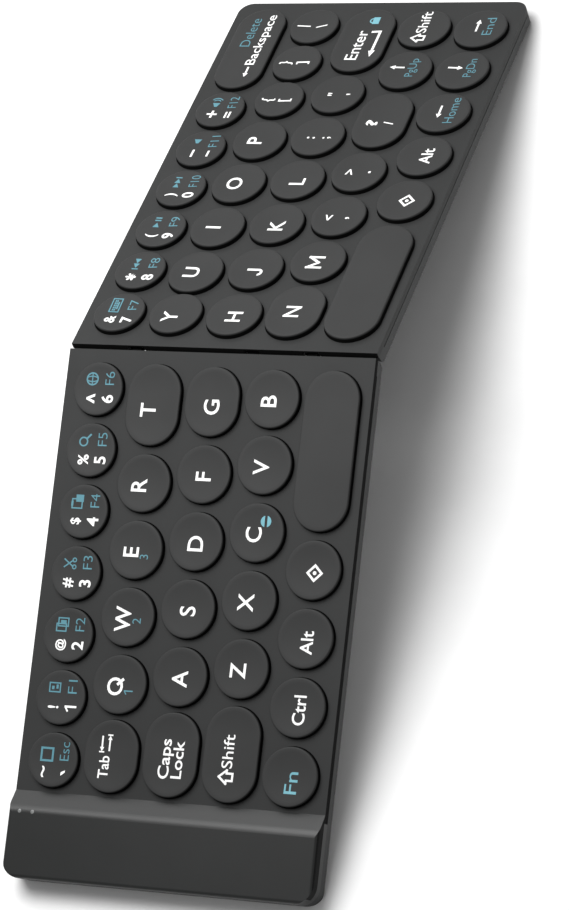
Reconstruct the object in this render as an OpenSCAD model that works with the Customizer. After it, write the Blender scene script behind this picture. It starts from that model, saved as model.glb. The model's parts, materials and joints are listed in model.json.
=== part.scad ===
// Folding keyboard: two halves that fold back to back about a pair of parallel hinge axes.
// Every half is drawn flat, in its own frame: f runs from its hinge edge to its outer end,
// y from its front edge to its rear edge, and z up from the top of its plate.

/* [Case] */
// Length of each half, from its hinge edge to its outer end
half_len = 139.3; // [139.3:0.1:150]
// Depth of the case, from its front edge to its rear edge
case_depth = 87.4; // [86.4:0.1:96]
// Thickness of each half, away from the battery strip
case_thk = 5.6; // [5.6:0.1:8]
// Thickness of the top frame's plate
plate_thk = 1; // [0.9:0.05:1.1]
// Height of the top frame's skirt
skirt_h = 2; // [1.8:0.05:2.2]
// Thickness of the outer walls
wall_thk = 1.2; // [1:0.05:1.4]
// Thickness of the trays' floors
floor_thk = 0.9; // [0.8:0.05:1]
// Radius of the trays' lower edges
edge_r = 1.2; // [0.6:0.1:1.6]
// Radius of the right half's outer corners
corner_r = 4; // [2:0.5:6]
// Depth and height of the groove where the frame meets the tray
groove = 0.25; // [0.1:0.05:0.4]

/* [Battery strip] */
// Length of the raised strip, along the keyboard
strip_len = 22.8; // [22:0.1:24]
// Length of the strip's slope
slope_len = 4.9; // [3:0.1:6]
// Height of the strip above the plate
strip_h = 3; // [2.6:0.1:5]
// Radius between the strip's slope and its top
slope_edge_r = 4; // [1:0.5:5]
// Radius of the strip's outer corners
strip_corner_r = 5; // [3:0.5:6]
// Radius of the strip's upper edges
strip_edge_r = 1; // [0.5:0.1:1.4]
// Length of the battery cell
cell_len = 62; // [40:1:66]
// Width of the battery cell
cell_w = 14; // [10:0.5:14.5]
// Thickness of the battery cell
cell_thk = 3.8; // [3:0.1:4]
// Diameter of the status lights
light_d = 1; // [0.6:0.1:1.4]
// Number of status lights
light_count = 2; // [1:1:5]
// Spacing of the status lights
light_pitch = 3.7; // [2:0.1:4.5]

/* [Keys] */
// Diameter of a letter key's cap
letter_d = 15.3; // [14.5:0.1:15.6]
// Space between two letter keys
letter_gap = 2.2; // [1.8:0.1:2.3]
// Diameter of a number key's cap
number_d = 14.2; // [13.5:0.1:14.4]
// Space between two number keys
number_gap = 2.04; // [1.6:0.02:2.1]
// Spacing of the letter rows
row_pitch = 16.8; // [16.6:0.05:17.2]
// Spacing from the top letter row to the number row
number_row_pitch = 16.4; // [16.2:0.05:16.8]
// Height of the caps above the plate
cap_h = 1.5; // [1.4:0.05:1.9]
// Thickness of a cap's roof
cap_roof = 1; // [0.8:0.05:1.1]
// Thickness of a cap's skirt
cap_wall = 0.9; // [0.7:0.05:1.1]
// Size of the bevel round a cap's top
cap_bevel = 0.35; // [0.2:0.05:0.6]
// Travel of a key
key_travel = 1.2; // [0.8:0.05:1.25]
// Clearance round a cap in its opening
cap_play = 0.25; // [0.15:0.01:0.3]
// Diameter of a key's stem
stem_d = 4.6; // [4.2:0.1:5]
// Width of the T key
t_w = 21.6; // [20:0.1:22]
// Width of the G key
g_w = 18.3; // [17:0.1:19]
// Width of the N key
n_w = 18.9; // [17:0.1:19.2]
// Width of the Y key
y_w = 14.7; // [14:0.1:14.8]
// Width of the Tab key
tab_w = 18.8; // [17:0.1:19]
// Width of the Caps Lock key
caps_w = 21.8; // [20:0.1:22]
// Width of the left Shift key
left_shift_w = 24.6; // [23:0.1:24.8]
// Width of the left space bar
left_space_w = 41.6; // [38:0.1:42]
// Width of the slash key
slash_w = 22; // [20:0.1:22.2]
// Width of the Enter key
enter_w = 26.4; // [24:0.1:27]
// Width of the Backspace key
backspace_w = 33.8; // [31:0.1:34.4]
// Width of the right space bar
right_space_w = 42.8; // [40:0.1:43]

/* [Hinge] */
// Angle between the two halves, measured from lying flat
fold_deg = 34; // [0:1:180]
// Depth of the hinge axes below the top of the plates
axis_depth = 1.6; // [1.55:0.05:1.8]
// Gap between the two plates when the keyboard lies flat
front_gap = 0.1; // [0.05:0.05:0.4]
// Diameter of the hinge pins
pin_d = 1; // [0.8:0.05:1.1]
// Diameter of the eyes round the hinge pins
eye_d = 1.9; // [1.7:0.05:1.95]
// Width of a hinge link
link_w = 2.6; // [2:0.1:2.8]
// Thickness of a bracket's ear
ear_thk = 0.9; // [0.6:0.05:1]
// Radial clearance of a link on its pins
pin_play = 0.05; // [0.02:0.01:0.08]

/* [Small parts] */
// Height of the rubber feet
foot_h = 0.3; // [0.2:0.05:0.8]
// Diameter of the rubber feet
foot_d = 8; // [5:0.5:9]
// Diameter of a screw's shank
screw_d = 1.4; // [1.2:0.1:1.6]
// Diameter of a screw's head
screw_head_d = 2.6; // [2.2:0.1:2.8]
// Thickness of the steel back plates
steel_thk = 0.4; // [0.3:0.05:0.5]
// Thickness of the key membranes
membrane_thk = 0.3; // [0.2:0.05:0.35]

/* [Hidden] */
$fn = 64;
eps = 0.01;
half_fold = fold_deg / 2;

// Key layout. Each key is [name, width, space before it, height], from the hinge outwards.
left_row_starts = [3.8, 4.1, 3.9, 3.65, 3.7];
right_row_starts = [3.6, 3.75, 3.65, 3.8, 3.85];
close_gap = 1.5;
pair_gap = 1.9;
bracket_key_gap = 1.35;
y_key_gap = 0.9;

function letters(names) = [for (n = names) [n, letter_d, letter_gap, letter_d]];
function numbers(names) = [for (n = names) [n, number_d, number_gap, number_d]];
function laid_out(keys, row, i = 0, at = 0) =
    i == len(keys)
    ? []
    : concat(
        [[keys[i][0], row, at + keys[i][2] + keys[i][1] / 2, keys[i][1], keys[i][3]]],
        laid_out(keys, row, i + 1, at + keys[i][2] + keys[i][1])
    );

left_layout = concat(
    laid_out(concat([["left_space", left_space_w, left_row_starts[0], letter_d]],
        letters(["left_command", "left_alt", "left_ctrl", "fn"])), 0),
    laid_out(concat([["b", letter_d, left_row_starts[1], letter_d], ["v", letter_d, pair_gap, letter_d]],
        letters(["c", "x", "z"]), [["left_shift", left_shift_w, pair_gap, letter_d]]), 1),
    laid_out(concat([["g", g_w, left_row_starts[2], letter_d]], letters(["f", "d", "s", "a"]),
        [["caps_lock", caps_w, close_gap, letter_d]]), 2),
    laid_out(concat([["t", t_w, left_row_starts[3], letter_d]], letters(["r", "e", "w", "q"]),
        [["tab", tab_w, close_gap, letter_d]]), 3),
    laid_out(concat([["6", number_d, left_row_starts[4], number_d]],
        numbers(["5", "4", "3", "2", "1", "grave"])), 4)
);
right_layout = concat(
    laid_out(concat([["right_space", right_space_w, right_row_starts[0], letter_d]],
        letters(["right_command", "right_alt", "home", "page_down", "end"])), 0),
    laid_out(concat([["n", n_w, right_row_starts[1], letter_d], ["m", letter_d, pair_gap, letter_d]],
        letters(["comma", "period"]), [["slash", slash_w, letter_gap, letter_d]],
        letters(["up", "right_shift"])), 1),
    laid_out(concat([["h", letter_d, right_row_starts[2], letter_d]],
        letters(["j", "k", "l", "semicolon", "quote"]),
        [["enter", enter_w, pair_gap, letter_d]]), 2),
    laid_out(concat([["y", y_w, right_row_starts[3], y_w], ["u", letter_d, y_key_gap, letter_d]],
        letters(["i", "o", "p"]), [["open_bracket", number_d, letter_gap, number_d]],
        [for (n = ["close_bracket", "backslash"]) [n, number_d, bracket_key_gap, number_d]]), 3),
    laid_out(concat([["7", number_d, right_row_starts[4], number_d]],
        numbers(["8", "9", "0", "minus", "equals"]),
        [["backspace", backspace_w, pair_gap, number_d]]), 4)
);
left_letters = ["q", "w", "e", "r", "t", "a", "s", "d", "f", "g", "z", "x", "c", "v", "b"];
right_letters = ["y", "u", "i", "o", "p", "h", "j", "k", "l", "n", "m"];
left_numbers = ["6", "5", "4", "3", "2", "1", "grave"];
left_commands = ["tab", "caps_lock", "left_shift", "fn", "left_ctrl", "left_alt", "left_command"];
right_numbers = ["7", "8", "9", "0", "minus", "equals"];
punctuation = ["open_bracket", "close_bracket", "backslash", "semicolon", "quote", "comma",
    "period", "slash"];
right_commands = ["backspace", "enter", "right_shift", "right_command", "right_alt", "up",
    "home", "page_down", "end"];
function key_named(layout, name) = [for (key = layout) if (key[0] == name) key][0];
function key_y(key) = first_row_y + min(key[1], 3) * row_pitch + max(key[1] - 3, 0) * number_row_pitch;
function stem_offsets(key) =
    key[3] > long_key_w ? [-1, 0, 1] * (key[3] / 2 - long_key_stem_inset) : [0];

first_row_y = (case_depth - 3 * row_pitch - number_row_pitch) / 2;
long_key_w = 30;
long_key_stem_inset = 9;

// Heights in the stack below the plate, from the floor up.
floor_z = -case_thk + floor_thk;
steel_z = floor_z + steel_thk;
membrane_z = steel_z + membrane_thk;
dome_sheet_thk = 0.2;
dome_z = membrane_z + dome_sheet_thk;
deck_thk = 0.5;
deck_z = dome_z + deck_thk;
foot_gap = 0.2;
cap_skirt_depth = 0.3;
roof_z = cap_h - cap_roof;
pressed_roof_z = roof_z - key_travel;
collar_top_z = pressed_roof_z - 0.4;
lip_h = 0.7;
stem_flange_z = collar_top_z - lip_h - 0.05;
stem_foot_z = dome_z + foot_gap + key_travel;
stem_play = 0.1;
stem_bore_d = stem_d - 1.4;
flange_d = stem_d + 0.6;
collar_bore_d = flange_d + 0.4;
collar_d = collar_bore_d + 1.6;
nub_d = stem_bore_d - 0.8;
nub_top_z = pressed_roof_z - 0.15;

// Hinge geometry.
back_r = case_thk - axis_depth;
fold_play = 0.1;
axis_pitch = 2 * (back_r + foot_h) + fold_play;
axis_f = (axis_pitch - front_gap) / 2;
slot_end_f = axis_f + 1.5;
slot_plate_thk = 0.5;
module_rows = [0.5, 1.5, 2.5];
link_ys = [first_row_y + row_pitch / 2, first_row_y + 3 * row_pitch + number_row_pitch / 2];
cable_y = first_row_y + 1.5 * row_pitch;
bracket_start_f = slot_end_f + 0.15;
bracket_len = 7;
bracket_w = 8;
bracket_screw_f = bracket_start_f + 1.2;
bracket_gap = 0.2;
ear_play = 0.1;
pin_len = link_w + 2 * (ear_thk + ear_play) + 0.2;
slot_play = 0.05;
cable_slot_play = 0.3;
press_play = 0.01;
cable_w = 3.6;
slot_places = concat(
    [for (y = link_ys) [y, pin_len + 2 * slot_play]],
    [[cable_y, cable_w + 2 * cable_slot_play]]
);
cable_thk = 0.2;
cable_loop_d = 1.8;
tail_overlap = 1;
tail_end_f = axis_f + cable_loop_d / 2 + 0.3;
tail_end_z = -axis_depth - 0.3;

// Where the two halves stand: both slope down from the hinge and rest on their outer lower edges.
axis_height = (half_len + front_gap / 2 - axis_pitch / 2 - edge_r) * sin(half_fold)
    + (back_r - edge_r) * cos(half_fold) + edge_r;
left_reach = axis_pitch / 2
    + (half_len + front_gap / 2 - axis_pitch / 2 - strip_edge_r) * cos(half_fold)
    + (strip_h - strip_edge_r + axis_depth) * sin(half_fold) + strip_edge_r;
right_reach = axis_pitch / 2 + (half_len + front_gap / 2 - axis_pitch / 2) * cos(half_fold)
    + axis_depth * sin(half_fold);
hinge_x = (left_reach - right_reach) / 2;

// Fasteners.
screw_len = 3.6;
screw_head_h = 0.5;
counterbore_d = screw_head_d + 0.2;
counterbore_depth = 0.6;
screw_hole_d = screw_d + 0.4;
boss_d = screw_d + 1;
edge_screw_y = 3.4;
pilot_gap = 0.4;
pilot_top_z = -case_thk + screw_head_h + screw_len + pilot_gap;
outer_screw_f = half_len - 3.7;
outer_screw_ys = [first_row_y + row_pitch / 2, first_row_y + 3 * row_pitch + number_row_pitch / 2];
strip_start_f = half_len - strip_len;
frame_lip_len = 2.1;
left_frame_len = strip_start_f + frame_lip_len;
left_frame_screws = [for (y = outer_screw_ys) [strip_start_f + 0.1, y]];
cover_screw_inset = 5;
cover_screws = [for (y = [cover_screw_inset, case_depth - cover_screw_inset]) [outer_screw_f, y]];
hinge_screws = [for (y = link_ys) [bracket_screw_f, y]];
right_outer_screws = [for (y = outer_screw_ys) [outer_screw_f, y]];
function between(layout, a, b, y) = [[(key_named(layout, a)[2] + key_named(layout, b)[2]) / 2, y]];
left_edge_screws = concat(
    between(left_layout, "left_command", "left_alt", edge_screw_y),
    between(left_layout, "4", "3", case_depth - edge_screw_y)
);
right_edge_screws = concat(
    between(right_layout, "right_command", "right_alt", edge_screw_y),
    between(right_layout, "9", "0", case_depth - edge_screw_y)
);
left_deck_screws = concat(left_edge_screws, left_frame_screws);
right_deck_screws = concat(right_edge_screws, right_outer_screws);

// Sheets under the keys.
sheet_start_f = slot_end_f + 0.65;
sheet_inset = wall_thk + 0.4;
left_sheet_len = left_frame_len + 0.9;
bracket_window_end_f = bracket_start_f + bracket_len + bracket_gap;

// Main board and charging port.
board_thk = 0.8;
board_start_f = left_frame_len + 0.6;
board_end_f = half_len - wall_thk - 0.6;
board_start_y = 7.4;
board_end_y = case_depth - wall_thk - 0.2;
board_notch_gap = 1;
board_notch = [outer_screw_f, case_depth - cover_screw_inset]
    - (boss_d / 2 + board_notch_gap) * [1, 1];
board_top_z = floor_z + board_thk;
chip_h = 0.9;
chips = [[8, 14, 9, 9], [7, 34, 11, 6], [9, 55, 6, 6]];
port_w = 9;
port_h = 3.2;
port_len = 7.4;
port_wall = 0.3;
port_f = half_len - strip_len / 2;
port_fit = 0.1;
tongue_w = 6.6;
tongue_thk = 0.7;
cell_f = half_len - wall_thk - 0.6 - cell_w / 2;
cell_y = 13;
cover_wall = 1.2;
cell_play = 0.1;
cell_top_z = strip_h - cover_wall - cell_play;
light_inset_y = 3.3;
light_f = strip_start_f + slope_len + 0.7;
light_depth = cover_wall + 0.2;
foot_inset_f = 14;
foot_inset_y = 11;
feet_fs = [foot_inset_f, half_len - foot_inset_f];
feet_ys = [foot_inset_y, case_depth - foot_inset_y];

// Puts a half that is drawn flat where it stands.
module place_right() {
    translate([hinge_x + axis_pitch / 2, 0, axis_height])
        rotate([0, half_fold, 0])
            translate([front_gap / 2 - axis_pitch / 2, -case_depth / 2, axis_depth])
                children();
}

module place_left() {
    translate([hinge_x - axis_pitch / 2, 0, axis_height])
        rotate([0, -half_fold, 0])
            mirror([1, 0, 0])
                translate([front_gap / 2 - axis_pitch / 2, -case_depth / 2, axis_depth])
                    children();
}

// A shape drawn in f and z, and made w wide along y from y = 0.
module across(w) {
    translate([0, w, 0])
        rotate([90, 0, 0])
            linear_extrude(w)
                children();
}

// A shape drawn in y and z, and made l long along f from f = 0.
module along(l) {
    rotate([90, 0, 90])
        linear_extrude(l)
            children();
}

// A rectangle from f = 0 whose two outer corners are round, drawn in by inset on three sides.
module half_outline(length, radius, inset = 0) {
    r = max(radius - inset, eps);
    translate([0, inset])
        square([length - inset - r, case_depth - 2 * inset]);
    translate([0, inset + r])
        square([length - inset, case_depth - 2 * (inset + r)]);
    for (y = [inset + r, case_depth - inset - r])
        translate([length - inset - r, y])
            circle(r);
}

// A bar with round ends, w long and d wide.
module stadium(w, d) {
    straight = w - d;
    if (straight > eps) {
        translate([-straight / 2, -d / 2])
            square([straight, d]);
        for (side = [-1, 1])
            translate([side * straight / 2, 0])
                circle(d / 2);
    } else {
        circle(d / 2);
    }
}

// The same bar with sloping sides: d wide at its foot and top_d wide at its top.
module tapered_stadium(w, d, top_d, h) {
    straight = w - d;
    if (straight > eps) {
        translate([-straight / 2, 0, 0])
            along(straight)
                polygon([[-d / 2, 0], [d / 2, 0], [top_d / 2, h], [-top_d / 2, h]]);
        for (side = [-1, 1])
            translate([side * straight / 2, 0, 0])
                cylinder(h, d / 2, top_d / 2);
    } else {
        cylinder(h, d / 2, top_d / 2);
    }
}

module at_key(key) {
    translate([key[2], key_y(key), 0])
        children();
}

module at_stems(layout) {
    for (key = layout)
        at_key(key)
            for (offset = stem_offsets(key))
                translate([offset, 0, 0])
                    children();
}

module upright(d, from_z, to_z) {
    translate([0, 0, from_z])
        cylinder(to_z - from_z, d / 2, d / 2);
}

module at_points(points) {
    for (p = points)
        translate([p[0], p[1], 0])
            children();
}

// One key: a hollow cap, and stems with a flange that the deck's collars hold down.
module key_cap(key) {
    straight_top = cap_h - cap_bevel;
    at_key(key) {
        difference() {
            union() {
                translate([0, 0, -cap_skirt_depth])
                    linear_extrude(straight_top + cap_skirt_depth)
                        stadium(key[3], key[4]);
                translate([0, 0, straight_top])
                    tapered_stadium(key[3], key[4], key[4] - 2 * cap_bevel, cap_bevel);
            }
            translate([0, 0, -cap_skirt_depth - eps])
                linear_extrude(roof_z + cap_skirt_depth + eps)
                    stadium(key[3] - 2 * cap_wall, key[4] - 2 * cap_wall);
        }
        for (offset = stem_offsets(key))
            translate([offset, 0, 0])
                difference() {
                    union() {
                        upright(stem_d, stem_foot_z, roof_z + eps);
                        upright(flange_d, stem_foot_z, stem_flange_z);
                    }
                    upright(stem_bore_d, stem_foot_z - eps, roof_z);
                }
    }
}

module keys_named(layout, names) {
    for (name = names)
        key_cap(key_named(layout, name));
}

module apertures(layout) {
    for (key = layout)
        at_key(key)
            translate([0, 0, -plate_thk - 1])
                linear_extrude(plate_thk + 2)
                    stadium(key[3] + 2 * cap_play, key[4] + 2 * cap_play);
}

module slots(depth_z, top_z) {
    for (slot = slot_places)
        translate([-1, slot[0] - slot[1] / 2, depth_z])
            cube([slot_end_f + 1, slot[1], top_z - depth_z]);
}

module bosses(points, foot_z) {
    at_points(points)
        difference() {
            upright(boss_d, foot_z, -plate_thk + eps);
            upright(screw_d, foot_z - eps, pilot_top_z);
        }
}

// Top frame: a plate with an opening for every key, a skirt round three sides and screw bosses.
module top_frame(layout, length, radius, cavity_len, deck_screws) {
    difference() {
        union() {
            translate([0, 0, -skirt_h + groove])
                linear_extrude(skirt_h - groove)
                    half_outline(length, radius);
            translate([0, 0, -skirt_h])
                linear_extrude(groove + eps)
                    half_outline(length, radius, groove);
        }
        translate([0, 0, -skirt_h - 1])
            linear_extrude(skirt_h + 1 - plate_thk)
                difference() {
                    half_outline(cavity_len, radius, wall_thk);
                    square([wall_thk, case_depth]);
                }
        translate([-1, -1, -skirt_h - 1])
            cube([axis_f + 1, case_depth + 2, skirt_h + 1 - axis_depth]);
        slots(-skirt_h - 1, -slot_plate_thk);
        apertures(layout);
    }
    bosses(deck_screws, deck_z);
    bosses(hinge_screws, steel_z);
}

// The bottom tray's side view: a round hinge end about the axis, and a round outer lower edge.
module tray_side(inset) {
    end_f = half_len - inset;
    low_z = -case_thk + inset;
    r = max(edge_r - inset, eps);
    translate([axis_f, low_z])
        square([end_f - r - axis_f, -skirt_h - low_z]);
    translate([axis_f, low_z + r])
        square([end_f - axis_f, -skirt_h - low_z - r]);
    translate([end_f - r, low_z + r])
        circle(r);
    intersection() {
        translate([axis_f, -axis_depth])
            circle(back_r - inset);
        translate([axis_f - back_r, -case_thk])
            square([back_r + eps, case_thk - axis_depth]);
    }
}

module tray_front(height) {
    translate([edge_r, -case_thk])
        square([case_depth - 2 * edge_r, height]);
    translate([0, -case_thk + edge_r])
        square([case_depth, height - edge_r]);
    for (y = [edge_r, case_depth - edge_r])
        translate([y, -case_thk + edge_r])
            circle(edge_r);
}

// Bottom tray: floor and walls, open on top, with its slots and screw holes.
module bottom_tray(radius, screws) {
    difference() {
        intersection() {
            across(case_depth)
                tray_side(0);
            along(half_len)
                tray_front(case_thk - axis_depth);
            translate([0, 0, -case_thk])
                linear_extrude(case_thk)
                    half_outline(half_len, radius);
        }
        intersection() {
            translate([0, wall_thk, 0])
                across(case_depth - 2 * wall_thk)
                    union() {
                        tray_side(floor_thk);
                        translate([axis_f, -skirt_h - eps])
                            square([half_len - axis_f - floor_thk, 1]);
                    }
            translate([0, 0, -case_thk])
                linear_extrude(case_thk)
                    half_outline(half_len, radius, wall_thk);
        }
        slots(-case_thk - 1, 0);
        at_points(screws) {
            upright(counterbore_d, -case_thk - 1, -case_thk + counterbore_depth);
            upright(screw_hole_d, -case_thk, 0);
        }
    }
}

// A flat sheet under the keys, cut out at the hinge brackets and the cable.
module sheet(from_z, to_z, length, screws) {
    translate([0, 0, from_z])
        linear_extrude(to_z - from_z)
            difference() {
                half_outline(length, corner_r, sheet_inset);
                square([sheet_start_f, case_depth]);
                for (y = link_ys)
                    translate([0, y - bracket_w / 2 - bracket_gap])
                        square([bracket_window_end_f, bracket_w + 2 * bracket_gap]);
                at_points(screws)
                    circle(screw_hole_d / 2);
            }
}

// Membrane with the tail that leads to the hinge.
module key_membrane(length, screws) {
    sheet(steel_z, membrane_z, length, screws);
    translate([0, cable_y - cable_w / 2, 0])
        across(cable_w)
            polygon([
                [sheet_start_f + tail_overlap, membrane_z], [sheet_start_f, membrane_z],
                [tail_end_f, tail_end_z], [tail_end_f, tail_end_z - membrane_thk],
                [sheet_start_f, steel_z], [sheet_start_f + tail_overlap, steel_z]
            ]);
}

module dome_sheet(layout, length, screws) {
    sheet(membrane_z, dome_z, length, screws);
    at_stems(layout)
        upright(nub_d, dome_z - eps, nub_top_z);
}

// Key deck: a plate with a collar round every stem, whose lip holds the stem's flange.
module key_deck(layout, length, screws) {
    difference() {
        union() {
            sheet(dome_z, deck_z, length, screws);
            at_stems(layout)
                upright(collar_d, dome_z, collar_top_z);
        }
        at_stems(layout) {
            upright(collar_bore_d, dome_z - 1, collar_top_z - lip_h);
            upright(stem_d + 2 * stem_play, dome_z - 1, collar_top_z + 1);
        }
    }
}

module screws_at(points) {
    at_points(points)
        difference() {
            union() {
                upright(screw_head_d, -case_thk + 0.1, -case_thk + counterbore_depth);
                upright(screw_d, -case_thk + counterbore_depth - eps,
                    -case_thk + screw_head_h + screw_len);
            }
            for (turn = [0, 90])
                rotate([0, 0, turn])
                    translate([-0.8, -0.15, -case_thk])
                        cube([1.6, 0.3, 0.35]);
        }
}

module feet() {
    for (f = feet_fs)
        for (y = feet_ys)
            translate([f, y, -case_thk - foot_h])
                cylinder(foot_h, foot_d / 2 - 0.1, foot_d / 2);
}

module hinge_brackets() {
    ear_y = link_w / 2 + ear_play;
    for (y = link_ys) {
        difference() {
            translate([bracket_start_f, y - bracket_w / 2, floor_z])
                cube([bracket_len, bracket_w, steel_thk]);
            translate([bracket_screw_f, y, 0])
                upright(screw_hole_d, -case_thk, 0);
        }
        for (from_y = [y - ear_y - ear_thk, y + ear_y])
            translate([0, from_y, 0])
                across(ear_thk)
                    difference() {
                        union() {
                            translate([axis_f, -axis_depth])
                                circle(eye_d / 2);
                            polygon([
                                [axis_f - eye_d / 2, -axis_depth], [axis_f + eye_d / 2, -axis_depth],
                                [bracket_start_f + 2.4, steel_z - eps], [bracket_start_f + 2.4, floor_z],
                                [bracket_start_f, floor_z]
                            ]);
                        }
                        translate([axis_f, -axis_depth])
                            circle(pin_d / 2 + press_play);
                    }
    }
}

module hinge_pins() {
    for (y = link_ys)
        translate([axis_f, y - pin_len / 2, -axis_depth])
            rotate([-90, 0, 0])
                cylinder(pin_len, pin_d / 2, pin_d / 2);
}

module left_frame() {
    color([0.13, 0.135, 0.135])
        place_left()
            top_frame(left_layout, left_frame_len, eps, half_len, left_deck_screws);
}

module left_tray() {
    color([0.16, 0.165, 0.165])
        place_left()
            difference() {
                bottom_tray(strip_corner_r, concat(left_deck_screws, hinge_screws, cover_screws));
                port_body(port_fit);
            }
}

// The strip's side view, drawn in by inset.
module strip_side(inset) {
    slope_f = strip_start_f + inset * norm([slope_len, strip_h]) / strip_h;
    r = max(strip_edge_r - inset, eps);
    end_f = half_len - inset;
    top_z = strip_h - inset;
    slope_end = [slope_f + top_z * slope_len / strip_h, top_z];
    slope_deg = atan2(strip_h, slope_len);
    bend_r = max(slope_edge_r - inset, eps);
    bend_len = bend_r * tan(slope_deg / 2);
    difference() {
        polygon([
            [slope_f, 0], slope_end, [end_f - r, top_z], [end_f - r, top_z - r], [end_f, top_z - r],
            [end_f, -skirt_h], [left_frame_len + inset, -skirt_h], [left_frame_len + inset, 0]
        ]);
        difference() {
            polygon([
                slope_end - bend_len * [cos(slope_deg), sin(slope_deg)],
                slope_end + [0, eps],
                slope_end + [bend_len, 0]
            ]);
            translate(slope_end + [bend_len, -bend_r])
                circle(bend_r);
        }
    }
    translate([end_f - r, top_z - r])
        circle(r);
}

module strip_front(r) {
    translate([r, -skirt_h])
        square([case_depth - 2 * r, skirt_h + strip_h]);
    translate([0, -skirt_h])
        square([case_depth, skirt_h + strip_h - r]);
    for (y = [r, case_depth - r])
        translate([y, strip_h - r])
            circle(r);
}

module battery_cover() {
    color([0.14, 0.145, 0.145])
        place_left() {
            difference() {
                intersection() {
                    across(case_depth)
                        strip_side(0);
                    along(half_len)
                        strip_front(strip_edge_r);
                    translate([0, 0, -case_thk])
                        linear_extrude(case_thk + strip_h)
                            half_outline(half_len, strip_corner_r);
                }
                translate([0, 0, -eps])
                    intersection() {
                        translate([0, wall_thk, 0])
                            across(case_depth - 2 * wall_thk)
                                intersection() {
                                    union() {
                                        strip_side(cover_wall);
                                        translate([left_frame_len, -skirt_h - 1])
                                            square([half_len - cover_wall - left_frame_len, 1 + eps]);
                                    }
                                    translate([left_frame_len + cover_wall, -skirt_h - 1])
                                        square([strip_len, skirt_h + strip_h + 1]);
                                }
                        translate([0, 0, -case_thk])
                            linear_extrude(case_thk + strip_h)
                                half_outline(half_len, strip_corner_r, wall_thk);
                    }
                port_body(port_fit);
                at_lights()
                    upright(light_d, strip_h - 2 * light_depth, strip_h + 1);
            }
            at_points(cover_screws)
                difference() {
                    upright(boss_d, floor_z, strip_h - cover_wall + eps);
                    upright(screw_d, floor_z - eps, pilot_top_z);
                }
        }
}

module at_lights() {
    for (i = [0 : light_count - 1])
        translate([light_f, case_depth - light_inset_y - i * light_pitch, 0])
            children();
}

module status_lights() {
    color([0.85, 0.88, 0.86])
        place_left()
            intersection() {
                at_lights()
                    upright(light_d, strip_h - light_depth, strip_h + 1);
                across(case_depth)
                    strip_side(0);
            }
}

module battery_cell() {
    color([0.75, 0.76, 0.78])
        place_left()
            translate([cell_f - cell_w / 2, cell_y, cell_top_z - cell_thk])
                cube([cell_w, cell_len, cell_thk]);
}

module main_board() {
    color([0.05, 0.3, 0.16])
        place_left() {
            difference() {
                translate([board_start_f, board_start_y, floor_z])
                    cube([board_end_f - board_start_f, board_end_y - board_start_y, board_thk]);
                translate([board_notch[0], board_notch[1], floor_z - 1])
                    cube([
                        board_end_f - board_notch[0] + 1, board_end_y - board_notch[1] + 1,
                        board_thk + 2
                    ]);
            }
            for (chip = chips)
                translate([half_len - strip_len / 2 - chip[0] + 4, chip[1], board_top_z - eps])
                    cube([chip[3], chip[2], chip_h]);
        }
}

module port_outline(shrink) {
    stadium(port_w - 2 * shrink, port_h - 2 * shrink);
}

module port_body(grow) {
    translate([port_f, case_depth + 1, board_top_z + port_h / 2])
        rotate([90, 0, 0])
            linear_extrude(port_len + 1)
                port_outline(-grow);
}

module charge_port() {
    depth_left = port_len - 1.2;
    color([0.72, 0.73, 0.75])
        place_left()
            translate([port_f, case_depth, board_top_z + port_h / 2])
                rotate([90, 0, 0]) {
                    difference() {
                        linear_extrude(port_len)
                            port_outline(0);
                        translate([0, 0, -1])
                            linear_extrude(depth_left + 1)
                                port_outline(port_wall);
                    }
                    translate([-tongue_w / 2, -tongue_thk / 2, 0.8])
                        cube([tongue_w, tongue_thk, depth_left]);
                }
}

module left_backplate() {
    color([0.62, 0.63, 0.65])
        place_left()
            sheet(floor_z, steel_z, left_sheet_len, left_deck_screws);
}

module left_membrane() {
    color([0.55, 0.6, 0.55])
        place_left()
            key_membrane(left_sheet_len, left_deck_screws);
}

module left_domes() {
    color([0.8, 0.8, 0.78])
        place_left()
            dome_sheet(left_layout, left_sheet_len, left_deck_screws);
}

module left_key_deck() {
    color([0.1, 0.1, 0.1])
        place_left()
            key_deck(left_layout, left_sheet_len, left_deck_screws);
}

module left_screws() {
    color([0.3, 0.3, 0.31])
        place_left()
            screws_at(concat(left_deck_screws, hinge_screws, cover_screws));
}

module left_feet() {
    color([0.06, 0.06, 0.06])
        place_left()
            feet();
}

module left_hinge_brackets() {
    color([0.1, 0.1, 0.1])
        place_left()
            hinge_brackets();
}

module left_hinge_pins() {
    color([0.3, 0.3, 0.31])
        place_left()
            hinge_pins();
}

// Two links, each with an eye on both hinge axes.
module hinge_links() {
    color([0.05, 0.05, 0.05])
        translate([hinge_x, 0, axis_height])
            for (y = link_ys)
                translate([0, y - case_depth / 2 - link_w / 2, 0])
                    across(link_w)
                        difference() {
                            stadium(axis_pitch + eye_d, eye_d);
                            for (side = [-1, 1])
                                translate([side * axis_pitch / 2, 0])
                                    circle(pin_d / 2 + pin_play);
                        }
}

// Flat cable that spans the gap, with a loop round each hinge axis.
module flex_cable() {
    color([0.03, 0.03, 0.032])
        translate([hinge_x, cable_y - case_depth / 2 - cable_w / 2, axis_height])
            across(cable_w) {
                difference() {
                    union() {
                        for (side = [-1, 1])
                            translate([side * axis_pitch / 2, 0])
                                circle(cable_loop_d / 2);
                        translate([-axis_pitch / 2, -cable_thk / 2])
                            square([axis_pitch, cable_thk]);
                    }
                    for (side = [-1, 1])
                        translate([side * axis_pitch / 2, 0])
                            circle(cable_loop_d / 2 - cable_thk);
                }
            }
}

module right_frame() {
    color([0.13, 0.135, 0.135])
        place_right()
            top_frame(right_layout, half_len, corner_r, half_len, right_deck_screws);
}

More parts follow.
